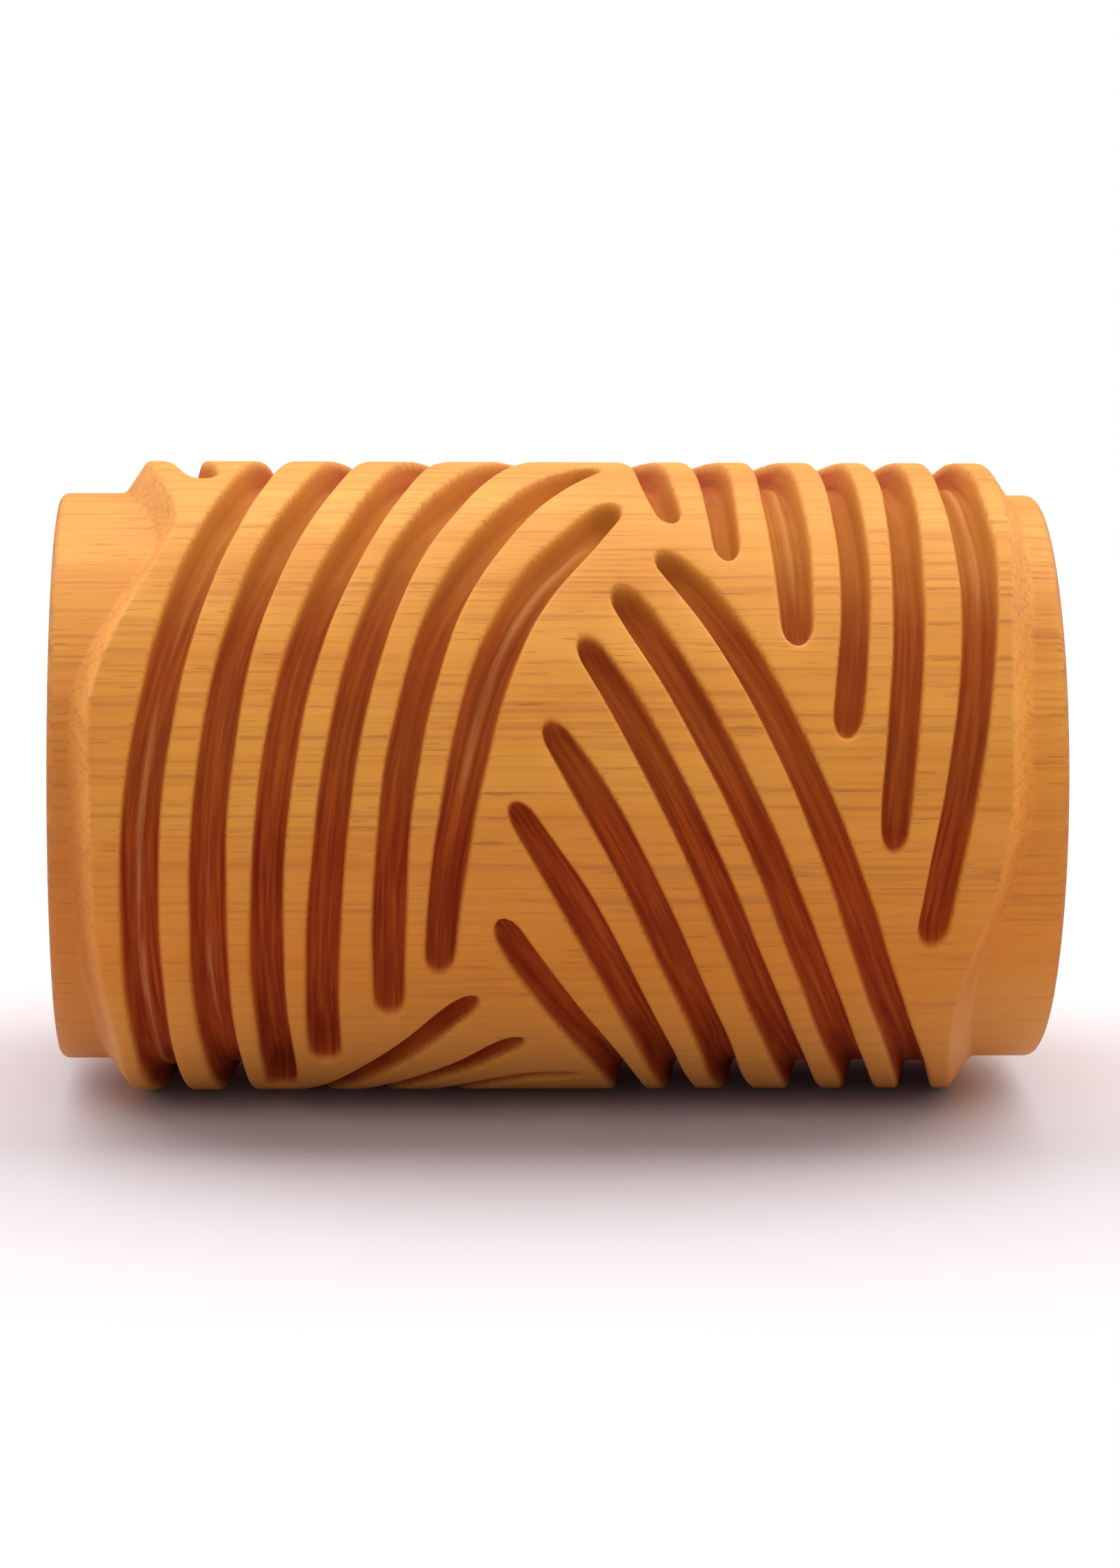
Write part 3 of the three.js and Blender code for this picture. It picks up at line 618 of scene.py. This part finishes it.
def oiledScorchedHardwood():
    # Fine-grained hardwood, turned, sanded and oiled, its grooves cut with a gouge and scorched.
    # The eye gets long fine streaks along the axis, a satin sheen on the lands, arcs of growth
    # rings on the end faces, and dull dark red-brown grooves with soft, slightly ragged edges.
    look = {
        # the lands and the hubs
        "light": "#f2ab47", "mid": "#df8b2d", "heart": "#d47c1a", "paleHeart": "#dd9a48",
        # the hubs' tone at the end of the next line is painted shade, laid on the left hub's lower
        # part
        "late": "#b5682c", "pore": "#96501f", "hubPaintedShade": "#b5622a",
        # the end faces and the bore
        "endGrain": "#b9702f", "endLate": "#8a4a1f", "ray": "#d9994f", "bore": "#7d4520",
        # the scorched grooves, and the worn ridge along their middle
        # the last colour on the next line is painted light: the paler groove colour near the top,
        # where light from above fills the grooves
        "scorchLight": "#c15714", "scorchDark": "#993208", "paintedLitScorch": "#cf8b33",
        "crest": "#cb8f57",

        # growth rings, all in mm
        "pith": (0.0, 26.0, -63.0),  # where the tree's middle lay, from the roller's
        "ringSpacing": 1.9,
        "ringWander": 4.0,           # how far a ring strays from a true circle
        "ringUneven": 7.0,           # how much wide and narrow rings differ
        "bend": (120.0, 32.0, 32.0), "yearRun": 7.0,  # sizes of the patterns behind those two
        # sizes of the other patterns, mm along the axis and across it
        "fibre": (26.0, 0.42, 0.42),
        "pores": (4.5, 0.3, 0.3),    # three times as coarse as real ones, so that they show
        "patch": (34.0, 9.0, 9.0),
        "poresFrom": (40.0, 40.0, 40.0), "patchFrom": (17.0, 17.0, 17.0),  # keep them apart
        "strokeScale": (1 / 9, 1 / 0.35, 3.1),  # along a groove, across it, groove to groove
        "rayWidth": 0.4, "rayLength": 5.0, "rayRadius": 85.0,
        "faceMark": 0.8,             # between the lathe's marks on an end face

        # where each pattern starts to show, where it is full, and how strongly it shows
        "yearDark": {"To Min": 0.3},
        "lateRise": {"From Min": 0.35, "From Max": 0.92},
        "lateFall": {"From Min": 1.0, "From Max": 0.94},
        "ringShows": {"From Min": 0.25, "From Max": 0.75, "To Max": 0.4},
        "fibreShows": {"From Min": 0.47, "From Max": 0.75, "To Max": 0.55},
        "poreShows": {"From Min": 0.62, "From Max": 0.78, "To Max": 0.45},
        "rayShows": {"From Min": 0.5, "From Max": 0.68, "To Max": 0.3},
        "strokeShows": {"From Min": 0.3, "From Max": 0.75},
        "crestShows": {"From Min": 0.3, "From Max": 0.6, "To Min": 0.1, "To Max": 0.5},
        "scorched": {"From Min": 0.0, "From Max": 0.42},  # by how far down the groove it is
        # by mm from the pith
        "heartwood": {"From Min": 99.0, "From Max": 70.0, "To Max": 0.85},
        # painted shade: where on the left hub the darkening lies, more on its lower part
        "lowerHubShade": {"From Min": 96.0, "From Max": 84.0, "To Min": 0.05, "To Max": 0.4},
        "nearPith": {"From Min": 76.0, "From Max": 62.0},
        # these two are painted light: the grooves turn paler from the middle of the front up to the
        # top, where light from above fills them
        "paintedLightFront": {"From Min": 81.0, "From Max": 87.0, "To Max": 0.16},
        "paintedLightTop": {"From Min": 91.2, "From Max": 95.6, "To Max": 0.62},
        # by mm from the axis, and by mm along it
        "belowBand": {"From Min": bandRadius - 0.4, "From Max": bandRadius - 2.2},
        "inBore": {"From Min": roller["boreRadius"] + 1.6, "From Max": roller["boreRadius"] + 0.3,
                   "To Max": 0.6},
        # painted shade: the hubs' darkening goes on the left end and not on the right
        "leftHubShade": {"From Min": -30.0, "From Max": 30.0, "To Min": 1.0, "To Max": 0.0},
        "onEnd": {"From Min": halfLength - 0.7, "From Max": halfLength - 0.05},

        # how strongly the rest shows
        "patchContrast": 1.6, "patchShift": -0.3,
        # painted shade: the left hub gets less of the pale streak than the right
        "paleOnBand": 0.45, "paleOnHub": 0.6, "shadeOnPale": -0.3,
        "endGrainShare": 0.6, "endRingShare": 0.5,
        "lipRagged": 0.16,

        "satin": 0.52, "dull": 0.85,  # roughness of the lands and of the scorched grooves
        "fibreGloss": 0.25,
        "sheen": 0.28, "oilIndex": 1.48,
        "fibreRelief": 0.6, "strokeRelief": 1.6, "markRelief": 0.12,
        "reliefStrength": 0.5, "reliefHeight": 0.00012,  # the height in metres
    }
    wood = bpy.data.materials.new("oiledScorchedHardwood")
    wood.use_nodes = True
    tree = wood.node_tree
    tree.nodes.clear()

    where = addNode(tree, "ShaderNodeTexCoord").outputs["Object"]
    spot = addNode(tree, "ShaderNodeVectorMath", {"operation": "SCALE"}, {
        0: where, "Scale": 1 / toMetres})
    along = addNode(tree, "ShaderNodeSeparateXYZ", inputs={0: spot}).outputs[0]
    offAxis = addNode(tree, "ShaderNodeVectorMath", times, {0: spot, 1: offAxisOnly})
    fromAxis = addNode(tree, "ShaderNodeVectorMath", {"operation": "LENGTH"}, {0: offAxis})

    # growth rings round the pith, none a true circle, no two alike in width or darkness
    offPith = addNode(tree, "ShaderNodeVectorMath", minus, {0: offAxis, 1: look["pith"]})
    fromPith = addNode(tree, "ShaderNodeVectorMath", {"operation": "LENGTH"}, {0: offPith})
    bendSize = addNode(tree, "ShaderNodeMapping", inputs={
        "Vector": spot, "Scale": [1 / size for size in look["bend"]]})
    bend = addNode(tree, "ShaderNodeTexNoise", inputs={
        "Vector": bendSize, "Scale": 1.0, "Detail": 1.0})
    bentRings = addNode(tree, "ShaderNodeMath", timesPlus, {
        0: bend, 1: look["ringWander"], 2: fromPith})
    years = addNode(tree, "ShaderNodeTexNoise", {"noise_dimensions": "1D"}, {
        "W": bentRings, "Scale": 1 / look["yearRun"], "Detail": 1.0})
    unevenRings = addNode(tree, "ShaderNodeMath", timesPlus, {
        0: years, 1: look["ringUneven"], 2: bentRings})
    ringCount = addNode(tree, "ShaderNodeMath", over, {0: unevenRings, 1: look["ringSpacing"]})
    ring = addNode(tree, "ShaderNodeMath", {"operation": "FRACT"}, {0: ringCount})
    ringNumber = addNode(tree, "ShaderNodeMath", {"operation": "FLOOR"}, {0: ringCount})
    oneYear = addNode(tree, "ShaderNodeTexWhiteNoise", {"noise_dimensions": "1D"}, {
        "W": ringNumber}).outputs["Value"]
    ringDark = addNode(tree, "ShaderNodeMapRange", inputs={"Value": oneYear, **look["yearDark"]})
    rise = addNode(tree, "ShaderNodeMapRange", smoothly, {"Value": ring, **look["lateRise"]})
    fall = addNode(tree, "ShaderNodeMapRange", smoothly, {"Value": ring, **look["lateFall"]})
    bothSlopes = addNode(tree, "ShaderNodeMath", times, {0: rise, 1: fall})
    lateWood = addNode(tree, "ShaderNodeMath", times, {0: bothSlopes, 1: ringDark})

    # streaks, pores and broad patches, all drawn out along the axis
    fibreSize = addNode(tree, "ShaderNodeMapping", inputs={
        "Vector": spot, "Scale": [1 / size for size in look["fibre"]]})
    fibres = addNode(tree, "ShaderNodeTexNoise", inputs={
        "Vector": fibreSize, "Scale": 1.0, "Detail": 3.0})
    poreSize = addNode(tree, "ShaderNodeMapping", inputs={
        "Vector": spot, "Location": look["poresFrom"],
        "Scale": [1 / size for size in look["pores"]]})
    pores = addNode(tree, "ShaderNodeTexNoise", inputs={
        "Vector": poreSize, "Scale": 1.0, "Detail": 1.0})
    patchSize = addNode(tree, "ShaderNodeMapping", inputs={
        "Vector": spot, "Location": look["patchFrom"],
        "Scale": [1 / size for size in look["patch"]]})
    patches = addNode(tree, "ShaderNodeTexNoise", inputs={
        "Vector": patchSize, "Scale": 1.0, "Detail": 2.0})

    # the lands: sapwood to heartwood, then rings, streaks and pores
    patchShare = addNode(tree, "ShaderNodeMath", timesPlus, {
        0: patches, 1: look["patchContrast"], 2: look["patchShift"]})
    tone = addNode(tree, "ShaderNodeMix", colour, {
        "Factor": patchShare, "A": linearColour(look["light"]), "B": linearColour(look["mid"])})
    heartShare = addNode(tree, "ShaderNodeMapRange", smoothly, {
        "Value": fromPith, **look["heartwood"]})
    tone = addNode(tree, "ShaderNodeMix", colour, {
        "Factor": heartShare, "A": tone, "B": linearColour(look["heart"])})
    ringPatch = addNode(tree, "ShaderNodeMapRange", smoothly, {
        "Value": patches, **look["ringShows"]})
    ringShare = addNode(tree, "ShaderNodeMath", times, {0: lateWood, 1: ringPatch})
    tone = addNode(tree, "ShaderNodeMix", colour, {
        "Factor": ringShare, "A": tone, "B": linearColour(look["late"])})
    fibreShare = addNode(tree, "ShaderNodeMapRange", smoothly, {
        "Value": fibres, **look["fibreShows"]})
    tone = addNode(tree, "ShaderNodeMix", colour, {
        "Factor": fibreShare, "A": tone, "B": linearColour(look["late"])})
    poreShare = addNode(tree, "ShaderNodeMapRange", smoothly, {
        "Value": pores, **look["poreShows"]})
    tone = addNode(tree, "ShaderNodeMix", colour, {
        "Factor": poreShare, "A": tone, "B": linearColour(look["pore"])})

    # the hubs stand below the band; the left one is painted darker there, most on its lower part,
    # as painted shade for light that falls more from the right, and the right one gets none of it
    belowBand = addNode(tree, "ShaderNodeMapRange", smoothly, {
        "Value": fromAxis, **look["belowBand"]})
    lowerHubShade = addNode(tree, "ShaderNodeMapRange", smoothly, {
        "Value": fromPith, **look["lowerHubShade"]})
    leftSideShade = addNode(tree, "ShaderNodeMapRange", smoothly, {"Value": along, **look["leftHubShade"]})
    lowerLeftShade = addNode(tree, "ShaderNodeMath", times, {0: lowerHubShade, 1: leftSideShade})
    hubShadeShare = addNode(tree, "ShaderNodeMath", times, {0: belowBand, 1: lowerLeftShade})
    tone = addNode(tree, "ShaderNodeMix", colour, {
        "Factor": hubShadeShare, "A": tone, "B": linearColour(look["hubPaintedShade"])})

    # close to the pith the wood turns pale again, which shows most on the right hub; the left hub
    # gets less of it, as painted shade for light that falls more from the right
    paleOnHub = addNode(tree, "ShaderNodeMath", timesPlus, {
        0: leftSideShade, 1: look["shadeOnPale"], 2: look["paleOnHub"]})
    paleReach = addNode(tree, "ShaderNodeMix", number, {
        "Factor": belowBand, "A": look["paleOnBand"], "B": paleOnHub})
    nearPith = addNode(tree, "ShaderNodeMapRange", smoothly, {
        "Value": fromPith, **look["nearPith"]})
    paleShare = addNode(tree, "ShaderNodeMath", times, {0: nearPith, 1: paleReach})
    tone = addNode(tree, "ShaderNodeMix", colour, {
        "Factor": paleShare, "A": tone, "B": linearColour(look["paleHeart"])})

    # end grain: rings cut straight across, fine rays out from the pith, pores as dots
    endward = addNode(tree, "ShaderNodeMath", {"operation": "ABSOLUTE"}, {0: along})
    onEnd = addNode(tree, "ShaderNodeMapRange", smoothly, {"Value": endward, **look["onEnd"]})
    pithSide = addNode(tree, "ShaderNodeSeparateXYZ", inputs={0: offPith}).outputs
    bearing = addNode(tree, "ShaderNodeMath", {"operation": "ARCTAN2"}, {
        0: pithSide[2], 1: pithSide[1]})
    rayAcross = addNode(tree, "ShaderNodeMath", times, {
        0: bearing, 1: look["rayRadius"] / look["rayWidth"]})
    rayAlong = addNode(tree, "ShaderNodeMath", over, {0: fromPith, 1: look["rayLength"]})
    rayPlace = addNode(tree, "ShaderNodeCombineXYZ", inputs={0: rayAcross, 1: rayAlong})
    rays = addNode(tree, "ShaderNodeTexNoise", inputs={
        "Vector": rayPlace, "Scale": 1.0, "Detail": 2.0})
    rayShare = addNode(tree, "ShaderNodeMapRange", smoothly, {"Value": rays, **look["rayShows"]})
    endTone = addNode(tree, "ShaderNodeMix", colour, {
        "Factor": look["endGrainShare"], "A": tone, "B": linearColour(look["endGrain"])})
    endTone = addNode(tree, "ShaderNodeMix", colour, {
        "Factor": rayShare, "A": endTone, "B": linearColour(look["ray"])})
    endRing = addNode(tree, "ShaderNodeMath", times, {0: lateWood, 1: look["endRingShare"]})
    endTone = addNode(tree, "ShaderNodeMix", colour, {
        "Factor": endRing, "A": endTone, "B": linearColour(look["endLate"])})
    tone = addNode(tree, "ShaderNodeMix", colour, {"Factor": onEnd, "A": tone, "B": endTone})

    # the drilled bore, darkened where oil has gathered at its mouth
    inBore = addNode(tree, "ShaderNodeMapRange", smoothly, {"Value": fromAxis, **look["inBore"]})
    tone = addNode(tree, "ShaderNodeMix", colour, {
        "Factor": inBore, "A": tone, "B": linearColour(look["bore"])})

    # the grooves, scorched from the lip down, and painted paler towards the top: painted light,
    # where light from above fills them
    dig = addNode(tree, "ShaderNodeAttribute", {"attribute_name": "dig"}).outputs["Fac"]
    cut = addNode(tree, "ShaderNodeAttribute", {"attribute_name": "cut"}).outputs["Vector"]
    strokeSize = addNode(tree, "ShaderNodeMapping", inputs={
        "Vector": cut, "Scale": look["strokeScale"]})
    strokes = addNode(tree, "ShaderNodeTexNoise", inputs={
        "Vector": strokeSize, "Scale": 1.0, "Detail": 3.0})
    strokeShare = addNode(tree, "ShaderNodeMapRange", smoothly, {
        "Value": strokes, **look["strokeShows"]})
    char = addNode(tree, "ShaderNodeMix", colour, {
        "Factor": strokeShare, "A": linearColour(look["scorchDark"]),
        "B": linearColour(look["scorchLight"])})
    # painted light: paler, yellower grooves from the middle of the front up to the top, where light
    # from above fills them
    frontPaintedLight = addNode(tree, "ShaderNodeMapRange", smoothly, {
        "Value": fromPith, **look["paintedLightFront"]})
    topPaintedLight = addNode(tree, "ShaderNodeMapRange", smoothly, {
        "Value": fromPith, **look["paintedLightTop"]})
    paintedLightShare = addNode(tree, "ShaderNodeMath", plus, {0: frontPaintedLight, 1: topPaintedLight})
    char = addNode(tree, "ShaderNodeMix", colour, {
        "Factor": paintedLightShare, "A": char, "B": linearColour(look["paintedLitScorch"])})
    crest = addNode(tree, "ShaderNodeAttribute", {"attribute_name": "crest"}).outputs["Fac"]
    crestWear = addNode(tree, "ShaderNodeMapRange", smoothly, {
        "Value": strokes, **look["crestShows"]})
    crestShare = addNode(tree, "ShaderNodeMath", times, {0: crest, 1: crestWear})
    char = addNode(tree, "ShaderNodeMix", colour, {
        "Factor": crestShare, "A": char, "B": linearColour(look["crest"])})
    fibreMiddle = addNode(tree, "ShaderNodeMath", minus, {0: fibres, 1: 0.5})
    ragged = addNode(tree, "ShaderNodeMath", timesPlus, {
        0: fibreMiddle, 1: look["lipRagged"], 2: dig})
    burnt = addNode(tree, "ShaderNodeMapRange", smoothly, {"Value": ragged, **look["scorched"]})
    tone = addNode(tree, "ShaderNodeMix", colour, {"Factor": burnt, "A": tone, "B": char})

    # satin lands, dull grooves, and relief from fibres, gouge strokes and the lathe's marks
    finish = addNode(tree, "ShaderNodeMix", number, {
        "Factor": burnt, "A": look["satin"], "B": look["dull"]})
    roughness = addNode(tree, "ShaderNodeMath", timesPlus, {
        0: fibreMiddle, 1: look["fibreGloss"], 2: finish})
    grainHeight = addNode(tree, "ShaderNodeMath", times, {0: fibres, 1: look["fibreRelief"]})
    strokeHeight = addNode(tree, "ShaderNodeMath", times, {0: strokes, 1: dig})
    cutHeight = addNode(tree, "ShaderNodeMath", timesPlus, {
        0: strokeHeight, 1: look["strokeRelief"], 2: grainHeight})
    markCount = addNode(tree, "ShaderNodeMath", times, {
        0: fromAxis, 1: 2 * math.pi / look["faceMark"]})
    marks = addNode(tree, "ShaderNodeMath", {"operation": "SINE"}, {0: markCount})
    endMarks = addNode(tree, "ShaderNodeMath", times, {0: marks, 1: onEnd})
    height = addNode(tree, "ShaderNodeMath", timesPlus, {
        0: endMarks, 1: look["markRelief"], 2: cutHeight})
    relief = addNode(tree, "ShaderNodeBump", inputs={
        "Strength": look["reliefStrength"], "Distance": look["reliefHeight"], "Height": height})
    surface = addNode(tree, "ShaderNodeBsdfPrincipled", inputs={
        "Base Color": tone, "Roughness": roughness, "Normal": relief, "IOR": look["oilIndex"],
        "Specular IOR Level": look["sheen"]})
    addNode(tree, "ShaderNodeOutputMaterial", inputs={"Surface": surface})
    return wood


# What the tree gets, in metres; the push length is in mm of groove, the depth's wander a share.
rollSettings = {
    "Band Radius": bandRadius * toMetres,
    "Rest Turn": math.radians(roller["restTurn"]),
    "Groove Depth": carving["depth"] * toMetres,
    "Depth Wander": 0.25,
    "Wander Size": 0.012,
    "Push Length": 3.2,
    "Push Depth": 0.00035,
    "Surface Wander": 0.00004,
    "Seed": 4.0,
    "Wood": oiledScorchedHardwood(),
}
skin = bpy.data.objects.new("skin", flatSkin)
bpy.context.scene.collection.objects.link(skin)
rolling = skin.modifiers.new("carveAndRoll", "NODES")
rolling.node_group = carveAndRollTree()
for socket in rolling.node_group.interface.items_tree:
    if socket.item_type == "SOCKET" and socket.in_out == "INPUT" and socket.name in rollSettings:
        rolling[socket.identifier] = rollSettings[socket.name]
graph = bpy.context.evaluated_depsgraph_get()
rolledMesh = bpy.data.meshes.new_from_object(
    skin.evaluated_get(graph), preserve_all_data_layers=True, depsgraph=graph)
bpy.data.objects.remove(skin)

shaping = bmesh.new()
shaping.from_mesh(rolledMesh)
bmesh.ops.recalc_face_normals(shaping, faces=shaping.faces)
if shaping.calc_volume(signed=True) < 0:
    bmesh.ops.reverse_faces(shaping, faces=shaping.faces)
print("volume cm3", round(shaping.calc_volume(signed=True) * 1e6, 2),
      "open edges", sum(not e.is_manifold for e in shaping.edges))
shaping.to_mesh(rolledMesh)
shaping.free()
carvedRoller = bpy.data.objects.new("turned_carved_roller", rolledMesh)
bpy.context.scene.collection.objects.link(carvedRoller)
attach(carvedRoller, "root")
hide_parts("carved_roller")
print("roller made:", len(rolledMesh.vertices), "points")


# The sweep that the roller lies on, and the lamps over it. Sizes and places are in metres.
studio = {
    "floorHalf": 4.0,
    "floorColour": "#dcd5d7",
    "whiteFrom": 0.09, "whiteTo": 0.34,  # between these the floor turns plain white
    "topLamp": 17.4, "topSize": (2.6, 0.9), "topPlace": (0.03, 0.23, 0.72),
    "sideLamp": 2.0, "sideSize": (0.7, 0.5), "sidePlace": (0.95, 0.5, 0.42),
    "frontLamp": 1.6, "frontSize": (0.9, 0.5), "frontPlace": (-0.1, -0.8, 0.78),
    "room": 0.4, "roomColour": "#f4f6ff",
    "white": (1, 1, 1, 1), "whiteStrength": 1.0,
}


def paintedSweep():
    # matt white paint on a smooth board: the eye gets an even pale ground and a soft shadow
    paint = bpy.data.materials.new("mattWhiteSweep")
    paint.use_nodes = True
    tree = paint.node_tree
    tree.nodes.clear()
    where = addNode(tree, "ShaderNodeTexCoord").outputs["Object"]
    away = addNode(tree, "ShaderNodeVectorMath", {"operation": "LENGTH"}, {0: where})
    far = addNode(tree, "ShaderNodeMapRange", smoothly, {
        "Value": away, "From Min": studio["whiteFrom"], "From Max": studio["whiteTo"]})
    seen = addNode(tree, "ShaderNodeLightPath").outputs["Is Camera Ray"]
    share = addNode(tree, "ShaderNodeMath", times, {0: far, 1: seen})
    matt = addNode(tree, "ShaderNodeBsdfDiffuse", inputs={
        "Color": linearColour(studio["floorColour"])})
    plain = addNode(tree, "ShaderNodeEmission", inputs={
        "Color": studio["white"], "Strength": studio["whiteStrength"]})
    both = addNode(tree, "ShaderNodeMixShader", inputs={0: share, 1: matt, 2: plain})
    addNode(tree, "ShaderNodeOutputMaterial", inputs={"Surface": both})
    return paint


half = studio["floorHalf"]
square = ((-half, -half), (half, -half), (half, half), (-half, half))
floorMesh = bpy.data.meshes.new("floor")
floorMesh.from_pydata([(x, y, cadLow.z) for x, y in square], [], [(0, 1, 2, 3)])
floorMesh.materials.append(paintedSweep())
floor = bpy.data.objects.new("floor", floorMesh)
bpy.context.scene.collection.objects.link(floor)


def softLamp(name, power, size, place):
    # a soft lamp that looks at the roller's middle
    lamp = bpy.data.lights.new(name, "AREA")
    lamp.energy = power
    lamp.shape = "RECTANGLE"
    lamp.size, lamp.size_y = size
    holder = bpy.data.objects.new(name, lamp)
    holder.location = place
    holder.rotation_euler = (-Vector(place)).to_track_quat("-Z", "Y").to_euler()
    bpy.context.scene.collection.objects.link(holder)


softLamp("topSoftbox", studio["topLamp"], studio["topSize"], studio["topPlace"])
softLamp("rightSoftbox", studio["sideLamp"], studio["sideSize"], studio["sidePlace"])
leftPlace = (-studio["sidePlace"][0],) + studio["sidePlace"][1:]
softLamp("leftSoftbox", studio["sideLamp"], studio["sideSize"], leftPlace)
softLamp("frontSoftbox", studio["frontLamp"], studio["frontSize"], studio["frontPlace"])

room = bpy.data.worlds.new("whiteRoom")
room.use_nodes = True
room.node_tree.nodes.clear()
seenDirect = addNode(room.node_tree, "ShaderNodeLightPath").outputs["Is Camera Ray"]
lighting = addNode(room.node_tree, "ShaderNodeBackground", inputs={
    "Color": linearColour(studio["roomColour"]), "Strength": studio["room"]})
backdrop = addNode(room.node_tree, "ShaderNodeBackground", inputs={
    "Color": studio["white"], "Strength": studio["whiteStrength"]})
either = addNode(room.node_tree, "ShaderNodeMixShader", inputs={
    0: seenDirect, 1: lighting, 2: backdrop})
addNode(room.node_tree, "ShaderNodeOutputWorld", inputs={"Surface": either})
bpy.context.scene.world = room

viewing = {
    "distance": 0.452,   # metres from the roller's middle
    "pixelFocus": 7213,  # focal length in pixels of the photograph
    "longSide": 2274,
    "sensor": 36,        # mm
    "aside": 2.5,        # degrees that the camera stands to the left
    "above": 12.0,       # degrees that it looks down
    "shiftAcross": 1.065, "shiftUp": -0.783,  # mm
    "clip": (0.01, 20),  # metres
}
aside, above = math.radians(viewing["aside"]), math.radians(viewing["above"])
forward = Vector((math.sin(aside), math.cos(aside), 0))
across = Vector((math.cos(aside), -math.sin(aside), 0))
upright = Vector((0, 0, 1))
tilt = Matrix.Rotation(-above, 3, "X")
shift = viewing["shiftAcross"] * across + viewing["shiftUp"] * upright
stand = -viewing["distance"] * forward + toMetres * shift
facing = tilt @ Matrix((across, upright, -forward)).transposed()
lens = bpy.data.cameras.new("camera")
lens.sensor_width = viewing["sensor"]
lens.lens = viewing["sensor"] * viewing["pixelFocus"] / viewing["longSide"]
lens.clip_start, lens.clip_end = viewing["clip"]
camera = bpy.data.objects.new("camera", lens)
camera.matrix_world = Matrix.Translation(tilt @ stand) @ facing.to_4x4()
bpy.context.scene.collection.objects.link(camera)
bpy.context.scene.camera = camera
bpy.context.scene.view_settings.view_transform = "Standard"
print("stage set")
